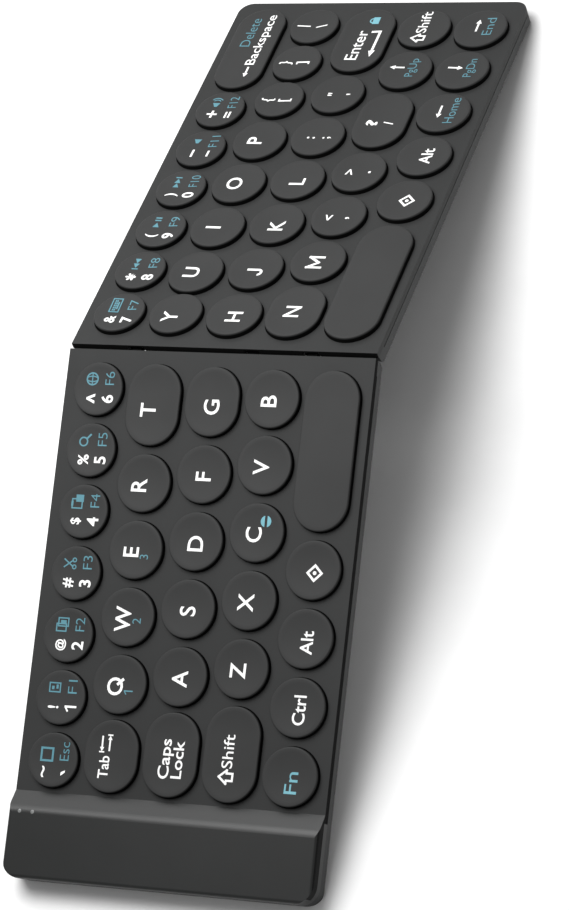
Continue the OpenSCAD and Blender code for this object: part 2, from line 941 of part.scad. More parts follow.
module right_tray() {
    color([0.16, 0.165, 0.165])
        place_right()
            bottom_tray(corner_r, concat(right_deck_screws, hinge_screws));
}

module right_backplate() {
    color([0.62, 0.63, 0.65])
        place_right()
            sheet(floor_z, steel_z, half_len, right_deck_screws);
}

module right_membrane() {
    color([0.55, 0.6, 0.55])
        place_right()
            key_membrane(half_len, right_deck_screws);
}

module right_domes() {
    color([0.8, 0.8, 0.78])
        place_right()
            dome_sheet(right_layout, half_len, right_deck_screws);
}

module right_key_deck() {
    color([0.1, 0.1, 0.1])
        place_right()
            key_deck(right_layout, half_len, right_deck_screws);
}

module right_screws() {
    color([0.3, 0.3, 0.31])
        place_right()
            screws_at(concat(right_deck_screws, hinge_screws));
}

module right_feet() {
    color([0.06, 0.06, 0.06])
        place_right()
            feet();
}

module right_hinge_brackets() {
    color([0.1, 0.1, 0.1])
        place_right()
            hinge_brackets();
}

module right_hinge_pins() {
    color([0.3, 0.3, 0.31])
        place_right()
            hinge_pins();
}

module left_keys(names) {
    color([0.15, 0.155, 0.155])
        place_left()
            keys_named(left_layout, names);
}

module right_keys(names) {
    color([0.15, 0.155, 0.155])
        place_right()
            keys_named(right_layout, names);
}

left_frame();
left_tray();
battery_cover();
battery_cell();
main_board();
charge_port();
status_lights();
left_backplate();
left_membrane();
left_domes();
left_key_deck();
left_screws();
left_feet();
left_hinge_brackets();
left_hinge_pins();
hinge_links();
flex_cable();
right_frame();
right_tray();
right_backplate();
right_membrane();
right_domes();
right_key_deck();
right_screws();
right_feet();
right_hinge_brackets();
right_hinge_pins();
left_keys(["left_space"]);  // left_space_bar
right_keys(["right_space"]);  // right_space_bar
left_keys(left_numbers);  // left_number_keys
left_keys(left_commands);  // left_command_keys
right_keys(right_numbers);  // right_number_keys
right_keys(punctuation);  // punctuation_keys
right_keys(right_commands);  // right_command_keys
for (n = left_letters) left_keys([n]);
for (n = right_letters) right_keys([n]);
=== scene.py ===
"""Looks for the folding keyboard: caps with printed marks, moulded plastics, studio and camera.

Lengths named *_MM are in millimetres; everything that reaches Blender is in metres, in the row frame.
Each half has a frame of its own: t runs along the keyboard in typing direction, y from the space bars
to the number row, and n up from the plate, all from the half's hinge axis.
"""
import json
import math

import bpy
import numpy as np
from mathutils import Matrix, Vector

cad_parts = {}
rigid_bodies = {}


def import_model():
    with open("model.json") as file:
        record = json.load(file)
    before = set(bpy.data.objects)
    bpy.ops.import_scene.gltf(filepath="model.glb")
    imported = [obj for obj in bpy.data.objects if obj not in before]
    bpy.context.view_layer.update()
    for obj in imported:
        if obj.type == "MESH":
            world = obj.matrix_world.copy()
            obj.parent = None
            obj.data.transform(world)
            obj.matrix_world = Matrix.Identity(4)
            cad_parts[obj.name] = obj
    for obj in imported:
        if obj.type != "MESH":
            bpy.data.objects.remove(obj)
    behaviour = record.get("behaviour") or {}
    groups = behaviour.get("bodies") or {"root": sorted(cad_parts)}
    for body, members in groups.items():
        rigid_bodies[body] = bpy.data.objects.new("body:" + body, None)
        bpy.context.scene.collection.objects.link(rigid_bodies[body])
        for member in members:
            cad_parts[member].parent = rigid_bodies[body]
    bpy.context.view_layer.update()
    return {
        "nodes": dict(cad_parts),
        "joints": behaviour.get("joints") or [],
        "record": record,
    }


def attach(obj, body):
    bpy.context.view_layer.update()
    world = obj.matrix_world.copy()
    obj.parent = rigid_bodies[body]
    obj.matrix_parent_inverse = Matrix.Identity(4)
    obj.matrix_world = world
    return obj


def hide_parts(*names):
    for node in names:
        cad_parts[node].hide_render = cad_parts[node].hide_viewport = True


MM = 0.001

# Camera, from the photograph.
CAMERA_CENTRE_MM = (-441.836, -444.539, 872.971)
CAMERA_FORWARD = (0.40673, 0.41308, -0.81483)
CAMERA_UP = (0.88568, 0.04033, 0.46254)
SENSOR_MM = 36.0
LENS_MM = 254.12

# Caps.
CAP_WALL_MM = 0.9
CAP_ROOF_MM = 1.0
CAP_EDGE_R_MM = 0.38
DISH_MM = 0.42
BAR_DISH_MM = 0.08
LONG_KEY_MM = 30.0
LONG_STEM_INSET_MM = 9.0
STEM_D_MM = 4.6
FLANGE_D_MM = 5.2
STEM_BORE_MM = 3.2
FLANGE_H_MM = 0.55
STEM_SECTION = (
    (STEM_BORE_MM, "roof"), (STEM_BORE_MM, "foot"), (FLANGE_D_MM, "foot"),
    (FLANGE_D_MM, "flange"), (STEM_D_MM, "flange"), (STEM_D_MM, "roof"),
)
SKIRT_RINGS = 3
END_STEPS = 28
ROUND_KEY_MM = 0.05
EDGE_STEPS = 5
DISH_STEPS = 7
STEM_STEPS = 32

# Printed marks.
PRINT_LIFT_MM = 0.012
PRINT_THICKNESS_MM = 0.02
FONT_CAP_SHARE = 0.682
BOLD = 0.012
HEAVY = 0.02
HEAVIEST = 0.03
MEDIUM = 0.004
THIN = -0.008
LETTER_H_MM = 4.2
DIGIT_H_MM = 3.2
LABEL_H_MM = 2.7
LABEL_W_MM = (3.5, 4.3)
ICON_Y_MM = 1.95
DIGIT_X_MM, DIGIT_Y_MM = -2.6, -3.0
SYMBOL_Y_MM = 1.9
SYMBOL_SHARE = 0.95
SYMBOL_SHARES = {"(": 1.2, ")": 1.2, "^": 0.75}
LETTER_STROKE_MM = 0.72
WORD_H_MM = 3.0
CIRCLE_STEPS = 28

# Shells.
# How squarely a wall must face a way to take the painted shade.
PAINTED_SHADE_FACING = 0.7
BELOW_ALL_MM, ABOVE_ALL_MM = -9.0, 9.0
# Painted shade: black on shell walls in the hinge gap and along the front edges, where shadow falls.
PAINTED_SHADE_BLACK = (0.001, 0.001, 0.001)
PLATE_TOP_MM = 1.6
EDGE_WIDTH_MM = {
    "left_frame": 0.15, "right_frame": 0.15, "battery_cover": 0.15,
    "left_tray": 0.12, "right_tray": 0.12,
}

# Studio, in metres and watts.
FLOOR_SIZE = 6.0
WORLD_LIGHT = 0.35
AIM = (0, 0, 0.03)
TOP_LIGHT = {"place": (0.09, 0.13, 0.52), "size": (0.4, 0.4), "watts": 3.7}
REAR_LIGHT = {"place": (0.9, 0.5, 0.65), "size": (0.9, 0.7), "watts": 3.7}


def new_material(name):
    material = bpy.data.materials.new(name)
    material.use_nodes = True
    return material, material.node_tree, material.node_tree.nodes["Principled BSDF"]


def object_coordinates(tree):
    return tree.nodes.new("ShaderNodeTexCoord").outputs["Object"]


def noise(tree, coordinates, scale, detail=3.0, roughness=0.5):
    node = tree.nodes.new("ShaderNodeTexNoise")
    node.inputs["Scale"].default_value = scale
    node.inputs["Detail"].default_value = detail
    node.inputs["Roughness"].default_value = roughness
    tree.links.new(coordinates, node.inputs["Vector"])
    return node.outputs["Fac"]


def ramp(tree, factor, low, high, stops=(0.3, 0.7)):
    """A colour that goes from low to high as the factor crosses the stops."""
    node = tree.nodes.new("ShaderNodeValToRGB")
    for element, stop, colour in zip(node.color_ramp.elements, stops, (low, high)):
        element.position = stop
        element.color = (*colour, 1.0)
    tree.links.new(factor, node.inputs["Fac"])
    return node.outputs["Color"]


def remap(tree, factor, low, high):
    node = tree.nodes.new("ShaderNodeMapRange")
    node.inputs["To Min"].default_value = low
    node.inputs["To Max"].default_value = high
    tree.links.new(factor, node.inputs["Value"])
    return node.outputs["Result"]


def bump(tree, shader, height, strength, distance_mm, under=None):
    node = tree.nodes.new("ShaderNodeBump")
    node.inputs["Strength"].default_value = strength
    node.inputs["Distance"].default_value = distance_mm * MM
    tree.links.new(height, node.inputs["Height"])
    if under is not None:
        tree.links.new(under.outputs["Normal"], node.inputs["Normal"])
    tree.links.new(node.outputs["Normal"], shader.inputs["Normal"])
    return node


def scaled(colour, share):
    return tuple(channel * share for channel in colour)


def moulded_plastic(name, colour, roughness, grain_mm=0.12, grain=0.25, mottle=0.06, specular=0.22):
    """Spark-eroded matt plastic: fine grain, faint mottling, and patches polished by handling."""
    material, tree, shader = new_material(name)
    at = object_coordinates(tree)
    cloud = noise(tree, at, 55.0, 4.0)
    tree.links.new(
        ramp(tree, cloud, scaled(colour, 1 - mottle), scaled(colour, 1 + mottle)),
        shader.inputs["Base Color"],
    )
    smudge = noise(tree, at, 23.0, 5.0, 0.6)
    tree.links.new(
        remap(tree, smudge, roughness - 0.07, roughness + 0.07), shader.inputs["Roughness"]
    )
    shader.inputs["Specular IOR Level"].default_value = specular
    fine = noise(tree, at, 1 / (grain_mm * MM), 2.0)
    coarse = noise(tree, at, 1 / (6 * grain_mm * MM), 2.0)
    first = bump(tree, shader, fine, grain, 0.03)
    bump(tree, shader, coarse, grain * 0.5, 0.05, first)
    return material


def math_node(tree, operation, first, second):
    """The output of a math node whose inputs are sockets or numbers."""
    node = tree.nodes.new("ShaderNodeMath")
    node.operation = operation
    for socket, value in zip(node.inputs, (first, second)):
        if isinstance(value, float):
            socket.default_value = value
        else:
            tree.links.new(value, socket)
    return node.outputs["Value"]


def along(tree, vector, direction):
    """How far a vector reaches along a direction."""
    node = tree.nodes.new("ShaderNodeVectorMath")
    node.operation = "DOT_PRODUCT"
    node.inputs[1].default_value = direction
    tree.links.new(vector, node.inputs[0])
    return node.outputs["Value"]


def painted_shade_mask(tree, half, ways, above_mm, below_mm):
    """Painted shade mask: 1 on the walls that face one of the ways, between two heights from the half's
    hinge axis.
    """
    at = tree.nodes.new("ShaderNodeTexCoord")
    faces = [
        math_node(tree, "GREATER_THAN", along(tree, at.outputs["Normal"], way), PAINTED_SHADE_FACING)
        for way in ways
    ]
    mask = faces[0]
    for other in faces[1:]:
        mask = math_node(tree, "MAXIMUM", mask, other)
    height = along(tree, at.outputs["Object"], half.n)
    axis_height = half.origin.dot(half.n)
    high = math_node(tree, "GREATER_THAN", height, axis_height + above_mm * MM)
    low = math_node(tree, "LESS_THAN", height, axis_height + below_mm * MM)
    return math_node(tree, "MULTIPLY", math_node(tree, "MULTIPLY", mask, high), low)


def paint_shade(material, mask, colour):
    """Paints shade onto the masked faces: another colour and a dull surface."""
    tree = material.node_tree
    shader = tree.nodes["Principled BSDF"]
    plain = shader.inputs["Base Color"].links[0].from_socket
    mix = tree.nodes.new("ShaderNodeMix")
    mix.data_type = "RGBA"
    sockets = {socket.identifier: socket for socket in mix.inputs}
    tree.links.new(mask, sockets["Factor_Float"])
    tree.links.new(plain, sockets["A_Color"])
    sockets["B_Color"].default_value = (*colour, 1.0)
    tree.links.new(
        next(o for o in mix.outputs if o.identifier == "Result_Color"), shader.inputs["Base Color"]
    )
    usual = shader.inputs["Roughness"].links[0].from_socket
    tree.links.new(math_node(tree, "MAXIMUM", usual, mask), shader.inputs["Roughness"])


def worn_metal(name, colour, roughness, brushed_along=(1, 1, 1), metallic=1.0):
    """Rolled or ground metal, with streaks along the direction whose scale is smallest."""
    material, tree, shader = new_material(name)
    mapping = tree.nodes.new("ShaderNodeMapping")
    mapping.inputs["Scale"].default_value = brushed_along
    tree.links.new(object_coordinates(tree), mapping.inputs["Vector"])
    streaks = noise(tree, mapping.outputs["Vector"], 900.0, 4.0, 0.7)
    tree.links.new(
        ramp(tree, streaks, scaled(colour, 0.82), colour), shader.inputs["Base Color"]
    )
    tree.links.new(
        remap(tree, streaks, roughness - 0.08, roughness + 0.1), shader.inputs["Roughness"]
    )
    shader.inputs["Metallic"].default_value = metallic
    bump(tree, shader, streaks, 0.15, 0.02)
    return material


def soft_rubber(name, colour):
    material, tree, shader = new_material(name)
    at = object_coordinates(tree)
    dust = noise(tree, at, 420.0, 5.0, 0.65)
    tree.links.new(
        ramp(tree, dust, colour, scaled(colour, 1.8), (0.45, 0.8)), shader.inputs["Base Color"]
    )
    tree.links.new(remap(tree, dust, 0.7, 0.95), shader.inputs["Roughness"])
    shader.inputs["Specular IOR Level"].default_value = 0.3
    bump(tree, shader, noise(tree, at, 3500.0, 2.0), 0.3, 0.04)
    return material


def circuit_board(name):
    """Solder mask over traces, with copper showing as slightly lighter lines."""
    material, tree, shader = new_material(name)
    at = object_coordinates(tree)
    traces = tree.nodes.new("ShaderNodeTexBrick")
    traces.inputs["Scale"].default_value = 260.0
    traces.inputs["Mortar Size"].default_value = 0.06
    traces.inputs["Color1"].default_value = (0.012, 0.11, 0.045, 1)
    traces.inputs["Color2"].default_value = (0.014, 0.13, 0.05, 1)
    traces.inputs["Mortar"].default_value = (0.05, 0.22, 0.08, 1)
    tree.links.new(at, traces.inputs["Vector"])
    tree.links.new(traces.outputs["Color"], shader.inputs["Base Color"])
    tree.links.new(
        remap(tree, noise(tree, at, 300.0), 0.25, 0.45), shader.inputs["Roughness"]
    )
    bump(tree, shader, traces.outputs["Fac"], 0.3, 0.03)
    return material


def foil_pouch(name):
    material, tree, shader = new_material(name)
    at = object_coordinates(tree)
    creases = noise(tree, at, 180.0, 6.0, 0.7)
    tree.links.new(
        ramp(tree, creases, (0.48, 0.49, 0.5), (0.72, 0.73, 0.75)), shader.inputs["Base Color"]
    )
    shader.inputs["Metallic"].default_value = 1.0
    tree.links.new(remap(tree, creases, 0.25, 0.5), shader.inputs["Roughness"])
    bump(tree, shader, creases, 0.4, 0.15)
    return material


def printed_film(name, low, high, line_scale):
    """Polymer film with conductor lines printed on it."""
    material, tree, shader = new_material(name)
    lines = tree.nodes.new("ShaderNodeTexWave")
    lines.bands_direction = "Y"
    lines.inputs["Scale"].default_value = line_scale
    lines.inputs["Distortion"].default_value = 0.6
    tree.links.new(object_coordinates(tree), lines.inputs["Vector"])
    tree.links.new(
        ramp(tree, lines.outputs["Fac"], low, high, (0.35, 0.65)), shader.inputs["Base Color"]
    )
    tree.links.new(
        remap(tree, lines.outputs["Fac"], 0.3, 0.45), shader.inputs["Roughness"]
    )
    bump(tree, shader, lines.outputs["Fac"], 0.2, 0.02)
    return material


def clear_lens(name):
    material, tree, shader = new_material(name)
    at = object_coordinates(tree)
    haze = noise(tree, at, 1500.0, 3.0)
    tree.links.new(
        ramp(tree, haze, (0.13, 0.135, 0.135), (0.20, 0.205, 0.20)), shader.inputs["Base Color"]
    )
    tree.links.new(remap(tree, haze, 0.15, 0.3), shader.inputs["Roughness"])
    shader.inputs["Coat Weight"].default_value = 0.6
    return material


def printed_ink(name, colour):
    """Screen-printed ink: a little uneven in cover, with a matt face."""
    material, tree, shader = new_material(name)
    at = object_coordinates(tree)
    cover = noise(tree, at, 2600.0, 3.0)
    tree.links.new(
        ramp(tree, cover, scaled(colour, 0.93), colour, (0.25, 0.55)), shader.inputs["Base Color"]
    )
    tree.links.new(remap(tree, cover, 0.45, 0.6), shader.inputs["Roughness"])
    shader.inputs["Specular IOR Level"].default_value = 0.3
    bump(tree, shader, cover, 0.15, 0.01)
    return material


def shell_plastic_with_painted_shade(name, colour, half, ways, above_mm, below_mm, roughness=0.6, specular=0.22):
    """Moulded plastic whose walls that face some ways, between two heights, carry painted black shade.
    """
    material = moulded_plastic(name, colour, roughness, specular=specular)
    paint_shade(material, painted_shade_mask(material.node_tree, half, ways, above_mm, below_mm), PAINTED_SHADE_BLACK)
    return material


def make_materials(halves):
    left, right = halves["left_half"], halves["right_half"]
    shell, strip = (0.023, 0.0237, 0.0237), (0.012, 0.0128, 0.0126)
    front = -left.y
    return {
        # Painted shade: walls toward the hinge and the left half's front walls are black below the plate
        # top, and the strip's front wall above it.
        "left_frame": shell_plastic_with_painted_shade(
            "left_frame_plastic", shell, left, (left.t, front), BELOW_ALL_MM, PLATE_TOP_MM
        ),
        "right_frame": shell_plastic_with_painted_shade(
            "right_frame_plastic", shell, right, (-right.t,), BELOW_ALL_MM, PLATE_TOP_MM
        ),
        "strip_plastic": shell_plastic_with_painted_shade(
            "strip_plastic", strip, left, (front,), PLATE_TOP_MM, ABOVE_ALL_MM, 0.38, 0.36
        ),
        # The tray is lighter than the frames: painted light, standing in for the floor's light bounced
        # onto its side.
        "tray_plastic": moulded_plastic("tray_plastic", (0.040, 0.041, 0.041), 0.6, 0.16, 0.3),
        "key_plastic": moulded_plastic("key_plastic", (0.027, 0.0275, 0.0275), 0.6, 0.1, 0.2),
        # A darker, duller copy of the key plastic for the caps' skirts: painted shade for their shadowed
        # sides.
        "key_skirt_painted_shade": moulded_plastic("key_skirt_painted_shade", (0.004, 0.004, 0.004), 0.8, specular=0.08),
        "deck_plastic": moulded_plastic("deck_plastic", (0.012, 0.012, 0.012), 0.6),
        "cell_foil": foil_pouch("cell_foil"),
        "board": circuit_board("board"),
        "port_steel": worn_metal("port_steel", (0.55, 0.55, 0.57), 0.28, (1, 0.1, 1)),
        "light_lens": clear_lens("light_lens"),
        "plate_steel": worn_metal("plate_steel", (0.42, 0.42, 0.43), 0.4, (0.06, 1, 1)),
        "membrane_film": printed_film(
            "membrane_film", (0.42, 0.46, 0.42), (0.62, 0.64, 0.6), 160.0
        ),
        "dome_rubber": soft_rubber("dome_rubber", (0.35, 0.35, 0.34)),
        "screw_steel": worn_metal("screw_steel", (0.14, 0.14, 0.15), 0.35, (1, 1, 0.2)),
        "foot_rubber": soft_rubber("foot_rubber", (0.018, 0.018, 0.018)),
        "bracket_steel": moulded_plastic("bracket_steel", (0.006, 0.006, 0.006), 0.6, specular=0.1),
        "link_metal": moulded_plastic("link_metal", (0.006, 0.006, 0.006), 0.5, 0.2, 0.15, specular=0.1),
        "flex_film": printed_film("flex_film", (0.012, 0.012, 0.013), (0.022, 0.022, 0.024), 500.0),
    }


class Half:
    """One half of the keyboard: its hinge axis and its directions."""

    def __init__(self, axis_joint, press_joint):
        self.origin = Vector(axis_joint["pos_m"])
        self.n = -Vector(press_joint["axis"])
        self.y = Vector((0, 1, 0))
        self.t = self.y.cross(self.n)
        self.to_row = Matrix((self.t, self.y, self.n)).transposed()

    def local_mm(self, points):
        """Row-frame points, in metres, as (t, y, n) in millimetres."""
        return (points - np.array(self.origin)) @ np.array(self.to_row) / MM

    def row(self, points_mm):
        """(t, y, n) in millimetres as row-frame points, in metres."""
        return np.asarray(points_mm, float) * MM @ np.array(self.to_row).T + np.array(self.origin)


class Key:
    """One key, measured from its solid: the cap's middle, its width and depth, and its heights."""

    def __init__(self, half, points_mm):
        low, high = points_mm.min(0), points_mm.max(0)
        self.half = half
        self.t, self.y = (low[:2] + high[:2]) / 2
        self.w, self.d = high[:2] - low[:2]
        self.foot, self.top = low[2], high[2]
        wide = points_mm[np.abs(points_mm[:, 0] - self.t) > self.w / 2 - 0.05]
        self.skirt = wide[:, 2].min()
        self.straight = (self.w - self.d) / 2
        self.radius = self.d / 2
        self.dish = BAR_DISH_MM if self.w > LONG_KEY_MM else DISH_MM

    def surface(self, t, y):
        """Height of the dished top over a point, in the key's own t and y."""
        reach = np.hypot(np.maximum(np.abs(t) - self.straight, 0), y)
        share = np.minimum(reach / (self.radius - CAP_EDGE_R_MM), 1)
        return self.top - self.dish * (1 - share**2)

    def placed(self, points):
        """Points about the key's middle, with n from the hinge axis, in the row frame."""
        return self.half.row(np.asarray(points) + (self.t, self.y, 0))


def loose_parts(mesh):
    """The vertices of each separate solid in a mesh, as arrays of row-frame points."""
    count = len(mesh.vertices)
    points = np.empty(count * 3)
    mesh.vertices.foreach_get("co", points)
    points = points.reshape(-1, 3)
    _, same = np.unique(np.round(points, 7), axis=0, return_inverse=True)
    same = same.ravel()
    leader = np.arange(same.max() + 1)

    def find(i):
        while leader[i] != i:
            leader[i] = leader[leader[i]]
            i = leader[i]
        return i

    for edge in mesh.edges:
        a, b = (find(same[v]) for v in edge.vertices)
        leader[a] = b
    group = np.array([find(i) for i in same])
    return [points[group == g] for g in np.unique(group)]


def keys_of(node, half):
    """The keys in one CAD node, from the front row to the rear and in typing direction."""
    parts = [half.local_mm(p) for p in loose_parts(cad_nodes[node].data)]
    keys = [Key(half, p) for p in parts]
    return sorted(keys, key=lambda k: (round(k.y / 5), k.t))


def mesh_object(name, points, faces, materials, face_materials=None, smooth_deg=None):
    mesh = bpy.data.meshes.new(name)
    mesh.from_pydata([tuple(p) for p in points], [], faces)
    for material in materials:
        mesh.materials.append(material)
    if face_materials is not None:
        mesh.polygons.foreach_set("material_index", face_materials)
    mesh.validate()
    if smooth_deg is not None:
        mesh.shade_smooth()
        mesh.set_sharp_from_angle(angle=math.radians(smooth_deg))
    made = bpy.data.objects.new(name, mesh)
    bpy.context.scene.collection.objects.link(made)
    return made


def stadium_ring(straight, radius, height):
    """Points round a bar with round ends, or round a plain circle, at one height."""
    if straight < ROUND_KEY_MM:
        return circle_ring(0.0, radius, height, 2 * END_STEPS)
    ends = []
    for side in (1, -1):
        turn = np.linspace(-math.pi / 2, math.pi / 2, END_STEPS + 1)
        ends.append(
            np.c_[
                side * (straight + radius * np.cos(turn)),
                side * radius * np.sin(turn),
                np.full(len(turn), height),
            ]
        )
    return np.vstack(ends)


def circle_ring(centre_t, radius, height, steps=STEM_STEPS):
    turn = np.arange(steps) * 2 * math.pi / steps
    return np.c_[centre_t + radius * np.cos(turn), radius * np.sin(turn), np.full(steps, height)]


def skin(rings, first=0):
    """Faces that join each ring to the next, and close the first and the last ring."""
    n = len(rings[0])
    faces = [tuple(first + i for i in reversed(range(n)))]
    for k in range(len(rings) - 1):
        low, high = first + k * n, first + (k + 1) * n
        faces += [
            (low + i, low + (i + 1) % n, high + (i + 1) % n, high + i) for i in range(n)
        ]
    last = first + (len(rings) - 1) * n
    faces.append(tuple(last + i for i in range(n)))
    return faces


def cap_rings(key):
    """The cap's section from its inner roof, down and round the skirt, over the edge, into the dish."""
    r, roof = key.radius, key.top - CAP_ROOF_MM
    rings = [
        stadium_ring(key.straight, r - CAP_WALL_MM, roof),
        stadium_ring(key.straight, r - CAP_WALL_MM, key.skirt),
        stadium_ring(key.straight, r, key.skirt),
        stadium_ring(key.straight, r, key.top - CAP_EDGE_R_MM - 0.15),
    ]
    for turn in np.linspace(0, math.pi / 2, EDGE_STEPS + 1):
        inset = CAP_EDGE_R_MM * (1 - math.cos(turn))
        height = key.top - CAP_EDGE_R_MM * (1 - math.sin(turn))
        rings.append(stadium_ring(key.straight, r - inset, height))
    for share in np.linspace(1, 0.04, DISH_STEPS + 1)[1:]:
        reach = (r - CAP_EDGE_R_MM) * share
        height = key.top - key.dish * (1 - share**2)
        rings.append(stadium_ring(key.straight, reach, height))
    return rings


def stem_rings(key, offset):
    """A hollow stem with its flange, from the bore's end down and round its foot, up to the roof."""
    heights = {
        "roof": key.top - CAP_ROOF_MM,
        "foot": key.foot,
        "flange": key.foot + FLANGE_H_MM,
    }
    return [circle_ring(offset, diameter / 2, heights[at]) for diameter, at in STEM_SECTION]


def stem_offsets(key):
    if key.w < LONG_KEY_MM:
        return [0.0]
    reach = key.w / 2 - LONG_STEM_INSET_MM
    return [-reach, 0.0, reach]


def build_caps(node, keys, top, side):
    """Dished caps with rounded edges, in place of the key node's plain ones; their skirts take the side
    material, a painted shade.
    """
    points, faces, colours = [], [], []
    for key in keys:
        for rings in [cap_rings(key)] + [stem_rings(key, o) for o in stem_offsets(key)]:
            its_faces = skin(rings, len(points))
            skirt = 1 + SKIRT_RINGS * len(rings[0])
            # Skirt and stem faces take the side material, painted shade; the cap's top takes the key
            # plastic.
            if len(rings) > len(STEM_SECTION):
                colours += [1] * skirt + [0] * (len(its_faces) - skirt)
            else:
                colours += [1] * len(its_faces)
            faces += its_faces
            points += list(key.placed(np.vstack(rings)))
    caps = mesh_object("cap_" + node, points, faces, [top, side], colours, smooth_deg=40)
    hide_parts(node)
    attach(caps, node)


# Marks are drawn flat about the key's middle, in millimetres, as closed outlines.


def circle(x, y, r, ry=None, start=0.0, end=360.0):
    steps = max(int(CIRCLE_STEPS * (end - start) / 360), 3)
    turn = np.radians(np.linspace(start, end, steps + 1))
    if end - start >= 360:
        turn = turn[:-1]
    return [(x + r * math.cos(a), y + (ry or r) * math.sin(a)) for a in turn]


def disc(x, y, r):
    return [circle(x, y, r)]


def box(x, y, w, h):
    left, right, low, high = x - w / 2, x + w / 2, y - h / 2, y + h / 2
    return [[(left, low), (right, low), (right, high), (left, high)]]


def line(width, *points, closed=False):
    """A stroke along points, one four-sided outline for each stretch, with square ends."""
    points = [np.array(p, float) for p in points]
    if closed:
        points.append(points[0])
    outlines = []
    for a, b in zip(points, points[1:]):
        ahead = (b - a) / np.linalg.norm(b - a) * width / 2
        aside = np.array((-ahead[1], ahead[0]))
        corners = (a - ahead - aside, b + ahead - aside, b + ahead + aside, a - ahead + aside)
        outlines.append([tuple(c) for c in corners])
    return outlines


def ring(x, y, r, width, ry=None, start=0.0, end=360.0):
    """A round stroke, as a strip of four-sided outlines."""
    outer = circle(x, y, r, ry, start, end)
    inner = circle(x, y, r - width, (ry - width) if ry else None, start, end)
    last = len(outer) if end - start >= 360 else len(outer) - 1
    n = len(outer)
    return [[outer[i], outer[(i + 1) % n], inner[(i + 1) % n], inner[i]] for i in range(last)]


def arrow(x, y, length, direction, shaft=0.55, head=1.6):
    """A solid arrow with its middle at x, y. Direction is in degrees from typing direction."""
    reach = length / 2
    neck = reach - head * 0.95
    flat = [(-reach, -shaft / 2), (neck, -shaft / 2), (neck, shaft / 2), (-reach, shaft / 2)]
    tip = [(neck, -head / 2), (reach, 0), (neck, head / 2)]
    c, s = math.cos(math.radians(direction)), math.sin(math.radians(direction))
    return [[(x + c * u - s * v, y + s * u + c * v) for u, v in part] for part in (flat, tip)]


def shift_arrow(x, y, w=3.4, h=3.75, width=0.55):
    """The outline of a broad arrow that points to the rear."""
    neck = 0.27 * w
    shoulder = y + h / 2 - 0.55 * h
    outline = [
        (x, y + h / 2), (x + w / 2, shoulder), (x + neck, shoulder), (x + neck, y - h / 2),
        (x - neck, y - h / 2), (x - neck, shoulder), (x - w / 2, shoulder),
    ]
    return line(width, *outline, closed=True)


def lozenge(x, y, size=3.9, width=0.6):
    r = size / 2
    return line(width, (x - r, y), (x, y + r), (x + r, y), (x, y - r), closed=True) + disc(x, y, 0.5)


def return_arrow():
    return (
        line(0.75, (-4.6, -4.1), (3.75, -4.1), (3.75, -1.8))
        + [[(-4.4, -5.1), (-4.4, -3.1), (-7.0, -4.1)]]
    )


def tab_arrows():
    left = arrow(3.1, 2.85, 4.0, 180, 0.45, 1.2) + line(0.35, (1.0, 2.3), (1.0, 3.4))
    right = arrow(3.3, 0.75, 4.0, 0, 0.45, 1.2) + line(0.35, (5.4, 0.2), (5.4, 1.3))
    return left + right


def globe(x, y):
    return ring(x, y, 1.75, 0.4) + ring(x, y, 0.85, 0.3, 1.75) + line(0.3, (x - 1.6, y), (x + 1.6, y))


def magnifier(x, y):
    return ring(x - 0.35, y + 0.4, 1.3, 0.4) + line(0.5, (x + 0.6, y - 0.6), (x + 1.5, y - 1.5))


def page(x, y, w=2.2, h=2.8, width=0.35):
    return line(width, *box(x, y, w, h)[0], closed=True)


def paste_mark(x, y):
    board = page(x - 0.6, y + 0.1, 2.4, 2.8) + box(x - 0.6, y + 1.5, 1.3, 0.6)
    return board + box(x + 0.8, y - 0.6, 1.9, 2.2)


def copy_mark(x, y):
    pages = page(x - 0.8, y + 0.3, 1.9, 2.7) + page(x + 0.6, y - 0.2, 2.1, 2.8)
    return pages + box(x + 0.6, y - 0.2, 1.0, 1.6)


def picture_mark(x, y):
    return page(x, y, 2.3, 3.0) + box(x - 0.1, y + 0.55, 0.9, 0.7) + box(x + 0.2, y - 0.65, 1.1, 0.6)


def scissors(x, y):
    first = line(0.35, (x - 1.0, y + 1.6), (x + 0.8, y - 0.8))
    second = line(0.35, (x + 1.0, y + 1.6), (x - 0.8, y - 0.8))
    return first + second + ring(x - 0.9, y - 1.2, 0.65, 0.3) + ring(x + 0.9, y - 1.2, 0.65, 0.3)


def small_keyboard(x, y):
    dots = [box(x + 0.8 * i, y + 0.5 * j, 0.62, 0.4)[0] for i in range(-2, 3) for j in (0, 1)]
    return page(x, y, 4.7, 2.6) + dots + box(x, y - 0.55, 2.6, 0.45)


def triangle(x, y, size, side):
    """A solid triangle that points along typing direction (side 1) or against it (side -1)."""
    base, tip, half_w = x - side * size / 2, x + side * size / 2, size * 0.55
    return [[(base, y - half_w), (tip, y), (base, y + half_w)]]


def previous_track(x, y):
    return box(x - 2.0, y, 0.4, 1.8) + triangle(x - 0.8, y, 1.6, -1) + triangle(x + 0.9, y, 1.6, -1)


def play_pause(x, y):
    return triangle(x - 1.0, y, 1.7, 1) + box(x + 0.7, y, 0.45, 1.8) + box(x + 1.6, y, 0.45, 1.8)


def next_track(x, y):
    return triangle(x - 1.5, y, 1.6, 1) + triangle(x + 0.2, y, 1.6, 1) + box(x + 1.4, y, 0.4, 1.8)


def speaker(x, y, waves=0):
    cone = [[(x - 1.0, y - 0.35), (x + 0.5, y - 1.1), (x + 0.5, y + 1.1), (x - 1.0, y + 0.35)]]
    arcs = [ring(x + 0.4, y, 0.8 + 0.65 * i, 0.3, None, -50, 50) for i in range(1, waves + 1)]
    return cone + [part for arc in arcs for part in arc]


def padlock(x, y):
    return box(x, y - 0.7, 2.7, 2.0) + ring(x, y + 0.2, 1.05, 0.4, None, 0, 180)


